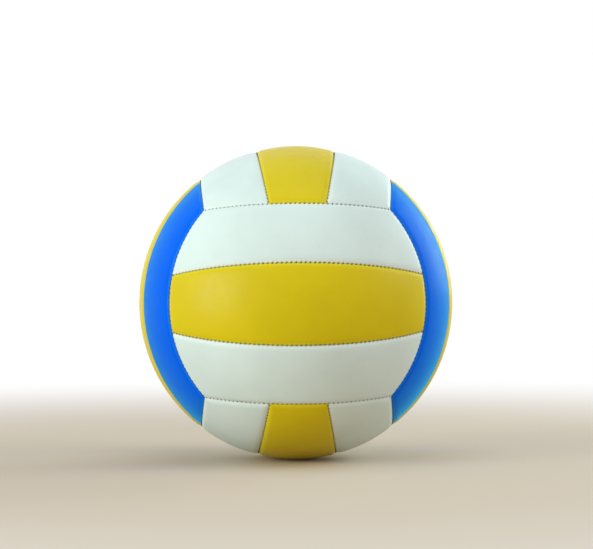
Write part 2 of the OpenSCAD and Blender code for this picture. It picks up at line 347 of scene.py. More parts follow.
class PanelPlan:
    """One kind of panel in its face's own frame, between two side seams and two end seams.

    A place on it has two coordinates from -1 to 1: one along it and one across it.
    """

    def __init__(self, plan, outer):
        self.plan = plan
        radius = plan.radius
        self.low = plan.middle_half if outer else -plan.middle_half
        self.high = plan.face_half if outer else plan.middle_half
        strip = self._line(plan.strip_lean, plan.strip_cone)
        if outer:
            edge = self._line(plan.edge_lean, plan.edge_cone)
            self.side_v, self.side_w = np.linalg.solve([strip[:2], edge[:2]], [strip[2], edge[2]])
        else:
            self.side_v, self.side_w = 0.0, strip[2] / strip[1]
        self.end_w = radius * math.cos(plan.edge_cone) / math.cos(plan.edge_lean)
        self.seams = [
            plan.side_seam(False, 1 if outer else -1, 1, not outer),
            plan.end_seam(1),
            plan.side_seam(outer, 1, -1, True),
            plan.end_seam(-1),
        ]

    def _line(self, lean, cone):
        """A side seam's plane, cut by the plane across the face's middle."""
        return math.cos(lean), -math.sin(lean), self.plan.radius * math.cos(cone)

    def place(self, along, across):
        """Points on the ball at these coordinates."""
        radius = self.plan.radius
        alpha = along * self.plan.end_angle
        beta = self.low + (across + 1) / 2 * (self.high - self.low)
        slope_u = radius * np.sin(alpha) / (radius * np.cos(alpha) - self.end_w)
        slope_v = (radius * np.sin(beta) - self.side_v) / (radius * np.cos(beta) - self.side_w)
        start_v = self.side_v - self.side_w * slope_v
        square = slope_u**2 + slope_v**2 + 1
        linear = start_v * slope_v - self.end_w * slope_u**2
        rest = (self.end_w * slope_u) ** 2 + start_v**2 - radius**2
        w = (-linear + np.sqrt(linear**2 - square * rest)) / square
        return np.stack([(w - self.end_w) * slope_u, start_v + w * slope_v, w], -1)

    def reach(self, along, across, step_along, step_across):
        """How many metres one unit of a coordinate spans at the panel's border."""
        here = self.place(along, across)
        there = self.place(along - step_along, across - step_across)
        return np.linalg.norm(here - there, axis=-1) / abs(step_along + step_across)

    def beside(self, side, others, inset, lengthwise):
        """Coordinates at a distance inside the panel's sides, at these other coordinates.

        lengthwise tells the coordinate along the panel from the one across it.
        """
        step = side * BORDER_STEP
        if lengthwise:
            return side - side * inset / self.reach(side, others, step, 0)
        return side - side * inset / self.reach(others, side, 0, step)

    def border(self, inset, step):
        """Coordinates of a loop inside the panel's border, counterclockwise from -1, -1."""
        signs = np.array([(-1.0, -1.0), (1.0, -1.0), (1.0, 1.0), (-1.0, 1.0)])
        corners = signs.copy()
        for _ in range(CORNER_ROUNDS):
            corners[:, 0] = self.beside(signs[:, 0], corners[:, 1], inset, True)
            corners[:, 1] = self.beside(signs[:, 1], corners[:, 0], inset, False)
        sides = []
        for number, count in enumerate((LONG_COLUMNS, SHORT_COLUMNS) * 2):
            axis = number % 2
            start, end = corners[number, axis], corners[(number + 1) % len(corners), axis]
            run = start + (end - start) * (np.arange(count // step) * step / count)
            side = np.full(len(run), signs[number, 1 - axis])
            line = self.beside(side, run, inset, axis == 1)
            sides.append((line, run) if axis else (run, line))
        return [np.concatenate(coordinate) for coordinate in zip(*sides)]


class Sheet:
    """Gathers the loops, grids and faces of one panel."""

    def __init__(self):
        self.points = []
        self.depths = []
        self.faces = []
        self.count = 0

    def add(self, points, depth):
        """Adds points on the ball, to be laid at a depth of their own. None is the surface."""
        self.points.append(points)
        self.depths.append(np.full(len(points), np.nan if depth is None else depth))
        first = self.count
        self.count += len(points)
        return np.arange(first, self.count)

    def join(self, first, second):
        """Joins two loops whose counts are the same, or one twice the other."""
        if len(first) == len(second):
            quads = [first, np.roll(first, -1), np.roll(second, -1), second]
            self.faces += np.stack(quads, -1).tolist()
            return
        fine, coarse = (first, second) if len(first) > len(second) else (second, first)
        low, middle, high = fine[0::2], fine[1::2], np.roll(fine[0::2], -1)
        after = np.roll(coarse, -1)
        for corners in ((low, middle, coarse), (middle, after, coarse), (middle, high, after)):
            inward = corners if fine is first else (corners[2], corners[1], corners[0])
            self.faces += np.stack(inward, -1).tolist()

    def fill(self, panel, loop, along, across, depth, up, open_cells):
        """Fills a loop with a grid, open by this many cells on each side of its middle.

        Gives the loop round the opening.
        """
        step = SURFACE_ROWS[-1][1]
        columns, rows = LONG_COLUMNS // step, SHORT_COLUMNS // step
        grid_a, grid_b = (self._spread(values, columns, rows) for values in (along, across))
        index = np.zeros((rows + 1, columns + 1), int)
        self._edge(index, loop, columns, rows)
        inner = panel.place(grid_a[1:-1, 1:-1].ravel(), grid_b[1:-1, 1:-1].ravel())
        index[1:-1, 1:-1] = self.add(inner, depth).reshape(rows - 1, columns - 1)
        corners = [index[:-1, :-1], index[:-1, 1:], index[1:, 1:], index[1:, :-1]]
        cells = np.stack(corners if up else corners[::-1], -1)
        keep = np.ones((rows, columns), bool)
        low_i, high_i = columns // 2 - open_cells, columns // 2 + open_cells
        low_j, high_j = rows // 2 - open_cells, rows // 2 + open_cells
        keep[low_j:high_j, low_i:high_i] = False
        self.faces += cells[keep].tolist()
        bottom, right = index[low_j, low_i:high_i], index[low_j:high_j, high_i]
        top, left = index[high_j, high_i:low_i:-1], index[high_j:low_j:-1, low_i]
        return np.concatenate([bottom, right, top, left])

    @staticmethod
    def _edge(grid, loop, columns, rows):
        """Writes a loop's values round the border of a grid."""
        grid[0, :columns] = loop[:columns]
        grid[:rows, columns] = loop[columns : columns + rows]
        grid[rows, columns:0:-1] = loop[columns + rows : 2 * columns + rows]
        grid[rows:0:-1, 0] = loop[2 * columns + rows :]

    def _spread(self, loop, columns, rows):
        """Spreads a loop's values evenly over the grid inside it."""
        grid = np.zeros((rows + 1, columns + 1))
        self._edge(grid, loop, columns, rows)
        s = np.linspace(0, 1, columns + 1)[None, :]
        t = np.linspace(0, 1, rows + 1)[:, None]
        left, right = grid[:, :1], grid[:, -1:]
        bottom, top = grid[:1, :], grid[-1:, :]
        corners = (
            (1 - s) * (1 - t) * grid[0, 0]
            + s * (1 - t) * grid[0, -1]
            + (1 - s) * t * grid[-1, 0]
            + s * t * grid[-1, -1]
        )
        return (1 - s) * left + s * right + (1 - t) * bottom + t * top - corners


def slow_waves(points):
    """Uneven height from -1 to 1 over the whole ball, from a few crossing waves."""
    directions = np.array([(1, 0.3, -0.5), (-0.4, 1, 0.6), (0.5, -0.7, 1), (0.9, 0.8, 0.2)])
    wave_lengths = np.array([0.041, 0.033, 0.027, 0.019])
    phases = np.array([0.4, 1.9, 3.1, 5.2])
    return np.sin(points @ directions.T * (2 * math.pi / wave_lengths) + phases).mean(1)


def sewn_shape(points, depths, seams, sizes, stitches, valve):
    """Lays points on the ball onto a panel's surface, or below it at a depth of their own.

    Gives the laid points and their distances from the nearest seam.
    """
    unit = points / np.linalg.norm(points, axis=1)[:, None]
    drop, fullness = np.zeros(len(unit)), np.ones(len(unit))
    shift, nearest = np.zeros_like(unit), np.full(len(unit), np.inf)
    for seam in seams:
        distance = np.maximum(seam.distance(unit), 0)
        from_stitch = seam.from_stitch(unit, stitches, stitches.slant)
        pull = np.exp(-((from_stitch / (stitches.pitch * PULL_SHARE)) ** 2))
        hole = np.exp(-((from_stitch / stitches.hole) ** 2))
        near = np.exp(-((distance / stitches.half_width) ** 2))
        roll = sizes.roll + (sizes.stitch_roll - sizes.roll) * pull
        over = np.clip(1 - distance / roll, 0, 1)
        rolled = roll * (1 - np.sqrt(1 - over**2))
        share = distance / sizes.shoulder_reach
        shoulder = sizes.shoulder * np.clip(1 - share, 0, 1) ** SHOULDER_POWER
        pit = stitches.hole_depth * hole * near
        ripple = stitches.ripple * pull * np.exp(-share * RIPPLE_FADE)
        drop += (rolled + shoulder + pit + ripple) ** CORNER_POWER
        opening = sizes.seam_gap / 2 + stitches.hole_opening * hole
        swing = seam.side * seam.swing(unit, stitches)
        shift += seam.inward(unit) * ((opening + swing) * near)[:, None]
        fullness *= 1 - np.exp(-distance / sizes.puff_reach)
        nearest = np.minimum(nearest, distance)
    drop = drop ** (1 / CORNER_POWER)
    crown = sizes.ball_radius + sizes.puff * (fullness - 0.5)
    crown = crown + sizes.unevenness * slow_waves(points) * fullness
    if valve is not None:
        from_hole = sizes.ball_radius * np.arccos(np.clip(unit[:, 2], -1, 1)) - valve.hole_radius
        over = np.clip(1 - np.maximum(from_hole, 0) / valve.rim, 0, 1)
        drop = drop + valve.rim * (1 - np.sqrt(1 - over**2))
    surface = crown - drop
    laid = np.where(np.isnan(depths), surface, np.minimum(surface, sizes.ball_radius - depths))
    return unit * laid[:, None] + shift, nearest


def round_valve(distance, columns, radius, valve):
    """A loop round the valve's hole, counterclockwise from its corner at -U and -V."""
    turn = np.arange(columns) / columns * 2 * math.pi - 3 * math.pi / 4
    angle = (valve.hole_radius + distance) / radius
    flat = math.sin(angle) * radius
    height = np.full(columns, math.cos(angle) * radius)
    return np.stack([flat * np.cos(turn), flat * np.sin(turn), height], -1)


def cover_panel(panel, sizes, stitches, valve):
    """Vertices, faces and seam distances of one kind of panel, in its face's own frame."""
    sheet = Sheet()
    cells = 0 if valve is None else VALVE_CELLS
    rows = [(inset, step, sizes.skin) for inset, step in LINING_ROWS]
    rows += [(inset, 1, sizes.edge_depth) for inset in (LINING_ROWS[-1][0], 0)]
    rows += [(0, 1, WALL_DEPTH * MM)] + [(inset, step, None) for inset, step in SURFACE_ROWS]
    borders = [panel.border(inset * MM, step) for inset, step, _ in rows]
    loops = []
    for border, (_, _, depth) in zip(borders, rows, strict=True):
        loops.append(sheet.add(panel.place(*border), depth))
    lining_hole = sheet.fill(panel, loops[0], *borders[0], sizes.skin, False, cells)
    surface_hole = sheet.fill(panel, loops[-1], *borders[-1], None, True, cells)
    rounds = [surface_hole]
    if valve is not None:
        for ring_rows, depth in ((VALVE_ROWS, None), (VALVE_LINING_ROWS, sizes.skin)):
            for distance, columns in ring_rows:
                ring = round_valve(distance * MM, columns, sizes.ball_radius, valve)
                rounds.append(sheet.add(ring, depth))
        rounds.append(lining_hole)
    for first, second in [*zip(loops, loops[1:]), *zip(rounds, rounds[1:])]:
        sheet.join(first, second)
    points, depths = np.concatenate(sheet.points), np.concatenate(sheet.depths)
    laid, nearest = sewn_shape(points, depths, panel.seams, sizes, stitches, valve)
    return laid, sheet.faces, nearest


def turned(points, face, half=False):
    """Turns points from a face's own frame into the row frame."""
    turn = Euler([math.radians(angle) for angle in FACE_TURNS[face]]).to_matrix()
    if half:
        turn = turn @ Euler((0, 0, math.pi)).to_matrix()
    return points @ np.array(turn).T


def make_piece(name, points, faces, material, nodes, seam_distance=None):
    """Makes a smooth mesh that rides on the ball and stands for these nodes."""
    used = np.unique(np.concatenate([np.asarray(face) for face in faces]))
    place = np.full(len(points), -1)
    place[used] = np.arange(len(used))
    mesh = bpy.data.meshes.new(name)
    mesh.from_pydata(points[used].tolist(), [], [place[face].tolist() for face in faces])
    mesh.polygons.foreach_set("use_smooth", np.ones(len(faces), bool))
    if seam_distance is not None:
        attribute = mesh.attributes.new("seam_distance", "FLOAT", "POINT")
        attribute.data.foreach_set("value", seam_distance[used].astype(np.float32))
    mesh.materials.append(material)
    mesh.update()
    piece = bpy.data.objects.new(name, mesh)
    bpy.context.scene.collection.objects.link(piece)
    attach(piece, BODY)
    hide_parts(*nodes)
    return piece


class Nodes:
    """Short ways to add nodes to a node tree and to link them."""

    def __init__(self, tree):
        self.tree = tree

    def add(self, kind, **settings):
        """Adds a shader node and sets its properties by name."""
        node = self.tree.nodes.new(f"ShaderNode{kind}")
        for key, value in settings.items():
            setattr(node, key, value)
        return node

    def put(self, socket, value):
        """Sets an input to a plain value, or links an output to it."""
        if isinstance(value, bpy.types.NodeSocket):
            self.tree.links.new(value, socket)
        else:
            socket.default_value = value

    def feed(self, node, *values, **inputs):
        """Feeds inputs in their order, or by name with an underscore for a space."""
        for socket, value in zip(node.inputs, values, strict=False):
            self.put(socket, value)
        for key, value in inputs.items():
            self.put(node.inputs[key.replace("_", " ")], value)
        return node

    def math(self, operation, *values):
        """A Math node's result."""
        return self.feed(self.add("Math", operation=operation), *values).outputs[0]

    def between(self, value, low, high, from_low=0.0, from_high=1.0):
        """A value moved from one range to another and held inside it."""
        node = self.add("MapRange", interpolation_type="SMOOTHSTEP")
        self.feed(node, Value=value, From_Min=from_low, From_Max=from_high, To_Min=low, To_Max=high)
        return node.outputs["Result"]

    def mix(self, factor, first, second):
        """A mix of two colours."""
        node = self.add("Mix", data_type="RGBA")
        # The node has a set of inputs for each kind of data: these are the colours' own
        for number, value in ((0, factor), (6, first), (7, second)):
            self.put(node.inputs[number], value)
        return node.outputs[2]

    def mix_shaders(self, factor, first, second):
        """A mix of two shaders."""
        return self.feed(self.add("MixShader"), factor, first, second).outputs[0]

    def place(self):
        """The place on the ball, in metres."""
        return self.add("TexCoord").outputs["Object"]

    def noise(self, scale, detail, **inputs):
        """Noise over the ball."""
        node = self.add("TexNoise")
        self.feed(node, Vector=self.place(), Scale=scale, Detail=detail, **inputs)
        return node.outputs["Fac"]

    def shared(self, name, maker, **values):
        """Outputs of a shared node group, which is built the first time."""
        tree = bpy.data.node_groups.get(name) or maker(name)
        return self.feed(self.add("Group", node_tree=tree), **values).outputs

    def seen_directly(self):
        """One where the camera sees a surface, or sees it mirrored or through glass."""
        path = self.add("LightPath").outputs
        seen = self.math("MAXIMUM", path["Is Camera Ray"], path["Is Glossy Ray"])
        return self.math("MAXIMUM", seen, path["Is Transmission Ray"])


class Finish(Nodes):
    """A material whose Principled shader has its plain values on its own sockets."""

    def __init__(self, name, **sockets):
        self.material = bpy.data.materials.new(name)
        self.material.use_nodes = True
        super().__init__(self.material.node_tree)
        self.shader = self.feed(self.tree.nodes["Principled BSDF"], **sockets)

    def dress(self, shade, rough, height, strength, distance):
        """Gives the shader its colour, its roughness and the relief of a height."""
        bump = self.feed(self.add("Bump"), Height=height, Strength=strength, Distance=distance)
        normal = bump.outputs["Normal"]
        self.feed(self.shader, Base_Color=shade, Roughness=rough, Normal=normal)
        return self.material


def new_group(name, inputs, outputs):
    """Nodes of an empty shader node group, its inputs and the node that takes its outputs."""
    tree = bpy.data.node_groups.new(name, "ShaderNodeTree")
    for label in (*inputs, *outputs):
        way = "INPUT" if label in inputs else "OUTPUT"
        socket = tree.interface.new_socket(label, in_out=way, socket_type="NodeSocketFloat")
        socket.default_value = inputs.get(label, 0.0)
    given, result = (tree.nodes.new(f"NodeGroup{end}") for end in ("Input", "Output"))
    return Nodes(tree), given.outputs, result


def grain_group(name):
    """Fine pebbled grain of a moulded or coated surface."""
    inputs = {"Cell size": 1.0 * MM, "Fine size": 0.35 * MM}
    nodes, given, result = new_group(name, inputs, ["Height"])
    cells = nodes.add("TexVoronoi", feature="SMOOTH_F1")
    scale = nodes.math("DIVIDE", 1.0, given["Cell size"])
    nodes.feed(cells, Vector=nodes.place(), Scale=scale, Smoothness=0.6)
    fine = nodes.noise(nodes.math("DIVIDE", 1.0, given["Fine size"]), detail=2.0)
    pebbles = nodes.math("MULTIPLY", cells.outputs["Distance"], -0.7)
    nodes.feed(result, Height=nodes.math("MULTIPLY_ADD", fine, 0.5, pebbles))
    return nodes.tree


def mottle_group(name):
    """Slow, faint changes of shade over a surface."""
    inputs = {"Patch size": 40 * MM, "Speck size": 6 * MM}
    nodes, given, result = new_group(name, inputs, ["Patches", "Specks"])
    for size, label in zip(inputs, ("Patches", "Specks"), strict=True):
        noise = nodes.noise(nodes.math("DIVIDE", 1.0, given[size]), detail=3.0, Roughness=0.55)
        nodes.feed(result, **{label: nodes.between(noise, 0.0, 1.0, 0.3, 0.7)})
    return nodes.tree


def seam_group(name):
    """Masks along the seams: dust with painted shade of the groove at the seams, and a band on the
    rolled edges beside them that is wear with a painted highlight.
    """
    inputs = {"Dust reach": 0.4 * MM, "Wear start": 0.9 * MM, "Wear end": 2.6 * MM}
    nodes, given, result = new_group(name, inputs, ["Dust", "Wear"])
    distance = nodes.add("Attribute", attribute_name="seam_distance").outputs["Fac"]
    patchy = nodes.between(nodes.noise(scale=1 / (4 * MM), detail=4.0), 0.55, 1.0, 0.3, 0.7)
    # Mask of the darkening at the seam: dust, and painted shade of the groove between the panels
    dust = nodes.between(distance, 1.0, 0.0, 0.0, given["Dust reach"])
    # Band on the rolled edges: wear, and a painted highlight where the edge turns to the light
    inner = nodes.between(distance, 0.0, 1.0, 0.0, given["Wear start"])
    outer = nodes.between(distance, 1.0, 0.0, given["Wear start"], given["Wear end"])
    band = nodes.math("MULTIPLY", inner, outer)
    for label, mask in (("Dust", dust), ("Wear", band)):
        nodes.feed(result, **{label: nodes.math("MULTIPLY", mask, patchy)})
    return nodes.tree


def weave_group(name):
    """Plain weave: threads that pass over and under each other."""
    nodes, given, result = new_group(name, {"Thread pitch": 0.5 * MM}, ["Height"])
    split = nodes.feed(nodes.add("SeparateXYZ"), Vector=nodes.place())
    turn = nodes.math("DIVIDE", 2 * math.pi, given["Thread pitch"])
    x, y, z = (nodes.math("SINE", nodes.math("MULTIPLY", at, turn)) for at in split.outputs)
    total = nodes.math("ADD", nodes.math("MULTIPLY", x, y), nodes.math("MULTIPLY", y, z))
    nodes.feed(result, Height=nodes.math("ADD", total, nodes.math("MULTIPLY", z, x)))
    return nodes.tree


def scaled(base, share):
    """A colour made darker or lighter by a share."""
    return (*(min(1.0, value * share) for value in base[:3]), 1.0)


def skin_material(name, base, edge, dirt=0.12, **sockets):
    """Soft synthetic leather with fine grain, dust and painted shade in its seams, and rubbed edges
    with a painted highlight.
    """
    nodes = Finish(name, IOR=1.47, **sockets)
    mottle = nodes.shared("Mottle", mottle_group)
    seams = nodes.shared("Seam dust and wear", seam_group)
    grain = nodes.shared("Pebbled grain", grain_group)
    shade = nodes.mix(mottle["Patches"], scaled(base, 0.965), scaled(base, 1.03))
    # The edge colour on the rolled edges: wear, and a painted highlight
    worn_and_lit = nodes.mix(nodes.math("MULTIPLY", seams["Wear"], 0.6), shade, edge)
    # Darker along the seams: dust, and painted shade of the groove between the panels
    dusty_shaded = nodes.mix(nodes.math("MULTIPLY", seams["Dust"], dirt), worn_and_lit, scaled(base, 0.45))
    rough = nodes.between(mottle["Specks"], 0.33, 0.43)
    dull = nodes.math("MULTIPLY_ADD", seams["Dust"], 0.25, rough)
    return nodes.dress(dusty_shaded, dull, grain["Height"], strength=0.6, distance=0.1 * MM)


def thread_material(base):
    """Waxed sewing thread of two twisted plies."""
    nodes = Finish("Waxed thread", Specular_IOR_Level=0.4)
    wave = nodes.add("TexWave", bands_direction="DIAGONAL")
    along = nodes.add("TexCoord").outputs["UV"]
    twist = nodes.feed(wave, Vector=along, Scale=1.0, Distortion=0.6, Detail=1.0).outputs["Fac"]
    mottle = nodes.shared("Mottle", mottle_group, Speck_size=1.5 * MM)
    # Darker in the twist's low places and lighter on its crowns: painted shade and highlight that
    # follow the plies' relief
    plies = nodes.mix(twist, scaled(base, 0.7), scaled(base, 1.2))
    shade = nodes.mix(mottle["Specks"], plies, scaled(base, 0.85))
    rough = nodes.between(mottle["Patches"], 0.5, 0.65)
    return nodes.dress(shade, rough, twist, strength=0.8, distance=0.06 * MM)


def rubber_material(name, base, cell, roughness):
    """Moulded rubber with a faint bloom."""
    nodes = Finish(name, Specular_IOR_Level=0.45)
    grain = nodes.shared("Pebbled grain", grain_group, Cell_size=cell)
    mottle = nodes.shared("Mottle", mottle_group, Patch_size=9 * MM, Speck_size=1.2 * MM)
    bloom = nodes.mix(mottle["Patches"], scaled(base, 0.85), scaled(base, 1.5))
    rough = nodes.between(mottle["Specks"], roughness - 0.06, roughness + 0.08)
    return nodes.dress(bloom, rough, grain["Height"], strength=0.5, distance=0.04 * MM)


def cloth_material(name, base, pitch):
    """Woven cloth, as on the back of the foam and round the valve."""
    nodes = Finish(name, Specular_IOR_Level=0.2, Sheen_Weight=0.2)
    weave = nodes.shared("Plain weave", weave_group, Thread_pitch=pitch)
    mottle = nodes.shared("Mottle", mottle_group)
    height = nodes.between(weave["Height"], 0.0, 1.0, -1.0, 1.5)
    # Darker in the weave's low places: painted shade between the threads
    threads = nodes.mix(height, scaled(base, 0.72), base)
    shade = nodes.mix(mottle["Specks"], threads, scaled(base, 0.93))
    rough = nodes.between(mottle["Patches"], 0.82, 0.95)
    return nodes.dress(shade, rough, height, strength=0.7, distance=0.12 * MM)


class VOLLEYBALL_OT_panels(bpy.types.Operator):
    """Sews the eighteen panels of the cover"""

    bl_idname = "volleyball.panels"
    bl_label = "Cover panels"

    # How the skins differ from each other beside their colours
    finishes = {
        "white": {"Specular_IOR_Level": 0.2},
        "yellow": {"Specular_IOR_Level": 0.2},
        "blue": {
            # The blue skin is darkened far more at its seams: painted shade of its folded edges,
            # beside dust
            "dirt": 0.75,
            "Specular_IOR_Level": 0.04,
            "Sheen_Weight": 1.0,
            "Sheen_Roughness": 0.4,
            "Sheen_Tint": (0.04, 0.85, 1.0, 1.0),
        },
    }

    def execute(self, context):
        scene = context.scene
        sizes, stitches = scene.volleyball_panels, scene.volleyball_stitches
        skins = {}
        for name, finish in self.finishes.items():
            # The edge colour of each skin is its paler rolled edge: stretched skin and a painted
            # highlight
            base, edge = (getattr(scene.volleyball_colours, name + end) for end in ("", "_edge"))
            skins[name] = skin_material(f"{name.capitalize()} skin", base, edge, **finish)
        plan = SeamPlan(sizes)
        middle, outer = PanelPlan(plan, False), PanelPlan(plan, True)
        middle_shape = cover_panel(middle, sizes, stitches, None)
        valve_shape = cover_panel(middle, sizes, stitches, scene.volleyball_valve)
        outer_shape = cover_panel(outer, sizes, stitches, None)
        for face, sides in FACE_SIDES.items():
            outer_skin = "blue" if face in BLUE_FACES else "white"
            inner_shape = valve_shape if face == VALVE_FACE else middle_shape
            pieces = (
                ("middle", inner_shape, False, "yellow"),
                (sides[0], outer_shape, False, outer_skin),
                (sides[1], outer_shape, True, outer_skin),
            )
            for side, (points, faces, nearest), half, skin in pieces:
                name, node = f"{face}_{side}_cover", f"{face}_{side}_panel"
                laid, slot = turned(points, face, half), f"panel_{skin}"
                make_piece(name, laid, faces, skins[skin], [node], nearest)
        return {"FINISHED"}


def stitch_path(seam, stitches, turn_points):
    """The thread's middle line: over the seam at each stitch and back below it."""
    places = seam.stitch_places(stitches)
    step = places[1] - places[0]
    phase = np.arange(turn_points) / turn_points * 2 * math.pi
    over = stitches.slant * np.cos(phase)
    back = (step + 2 * stitches.slant) * (1 - np.cos(phase - math.pi)) / 2 - stitches.slant
    lead = np.where(phase < math.pi, over, back)
    run = (places[:, None] + lead[None, :]).ravel()
    across = np.tile(-stitches.half_width * np.cos(phase), len(places))
    depth = np.tile(stitches.depth - stitches.rise * np.sin(phase), len(places))
    return seam.point(run, across, depth)[: -turn_points // 2]


def tube(path, radius, sides):
    """Vertices, faces and face corner coordinates of a round thread along a path."""
    tangents = np.gradient(path, axis=0)
    tangents /= np.linalg.norm(tangents, axis=1)[:, None]
    # Any direction will do that no seam starts along
    aside = (0.3, 0.5, 0.81)
    normal = np.cross(tangents[0], aside)
    normals = []
    for tangent in tangents:
        normal = normal - tangent * (normal @ tangent)
        normal = normal / np.linalg.norm(normal)
        normals.append(normal)
    normals = np.array(normals)
    sideways = np.cross(tangents, normals)
    turn = np.arange(sides) / sides * 2 * math.pi
    cosine, sine = np.cos(turn)[None, :, None], np.sin(turn)[None, :, None]
    ring = cosine * normals[:, None] + sine * sideways[:, None]
    points = (path[:, None] + radius * ring).reshape(-1, 3)
    index = np.arange(len(points)).reshape(-1, sides)
    after = np.roll(index, -1, axis=1)
    faces = np.stack([index[:-1], after[:-1], after[1:], index[1:]], -1).reshape(-1, 4).tolist()
    faces += [index[0, ::-1].tolist(), index[-1].tolist()]
    run = np.concatenate([[0], np.cumsum(np.linalg.norm(np.diff(path, axis=0), axis=1))])
    low, high = run[:-1, None] / MM, run[1:, None] / MM
    left = np.arange(sides)[None, :] / sides
    right = left + 1 / sides
    corners = [
        np.stack(np.broadcast_arrays(run_at, turn_at), -1)
        for run_at, turn_at in ((low, left), (low, right), (high, right), (high, left))
    ]
    corners = np.stack(corners, 2).reshape(-1, 2)
    return points, faces, np.concatenate([corners, np.zeros((2 * sides, 2))])


class VOLLEYBALL_OT_stitches(bpy.types.Operator):
    """Runs the sewing thread through every seam"""

    bl_idname = "volleyball.stitches"
    bl_label = "Stitches"

    turn_points = 12
    sides = 6

    def threads(self, plan, stitches, edge):
        """Vertices, faces and face corner coordinates of a face's two threads of one kind."""
        points, faces, corners, count = [], [], [], 0
        for sign in (-1, 1):
            seam = plan.side_seam(edge, sign, -sign, True)
            path = stitch_path(seam, stitches, self.turn_points)
            tube_points, tube_faces, tube_corners = tube(path, stitches.thread_radius, self.sides)
            points.append(tube_points)
            faces += [[index + count for index in around] for around in tube_faces]
            corners.append(tube_corners)
            count += len(tube_points)
        return np.concatenate(points), faces, np.concatenate(corners)

    def execute(self, context):
        scene = context.scene
        plan, stitches = SeamPlan(scene.volleyball_panels), scene.volleyball_stitches
        # Whether a kind of seam joins two faces, and not two strips of one
        kinds = {"strip": False, "edge": True}
        shapes = {kind: self.threads(plan, stitches, edge) for kind, edge in kinds.items()}
        material = thread_material(scene.volleyball_colours.thread)
        for face in FACE_TURNS:
            for kind, (points, faces, corners) in shapes.items():
                name, node = f"{face}_{kind}_stitches", f"{face}_{kind}_threads"
                laid = turned(points, face)
                piece = make_piece(name, laid, faces, material, [node])
                layer = piece.data.uv_layers.new(name="thread")
                layer.data.foreach_set("uv", corners.ravel())
        return {"FINISHED"}


def lathe(profile, columns):
    """Vertices and faces of a closed outline of radius and height, turned about W."""
    profile = np.array(profile)
    turn = np.arange(columns) / columns * 2 * math.pi
    out, up = profile[:, :1], profile[:, 1:]
    points = np.stack([out * np.cos(turn), out * np.sin(turn), up + 0 * turn], -1).reshape(-1, 3)
    index = np.arange(len(points)).reshape(len(profile), columns)
    above, after = np.roll(index, -1, axis=0), np.roll(index, -1, axis=1)
    both = np.roll(after, -1, axis=0)
    return points, np.stack([index, after, both, above], -1).reshape(-1, 4).tolist()


def rounded(outline, steps=6):
    """Rounds the corners of an outline of (radius, height, rounding)."""
    result = []
    count = len(outline)
    for number, (x, y, rounding) in enumerate(outline):
        here = np.array([x, y])
        if not rounding:
            result.append(here)
            continue
        before = np.array(outline[number - 1][:2]) - here
        after = np.array(outline[(number + 1) % count][:2]) - here
        start = here + before / np.linalg.norm(before) * rounding
        end = here + after / np.linalg.norm(after) * rounding
        for share in np.linspace(0, 1, steps):
            rest = 1 - share
            result.append(rest**2 * start + 2 * share * rest * here + share**2 * end)
    return result


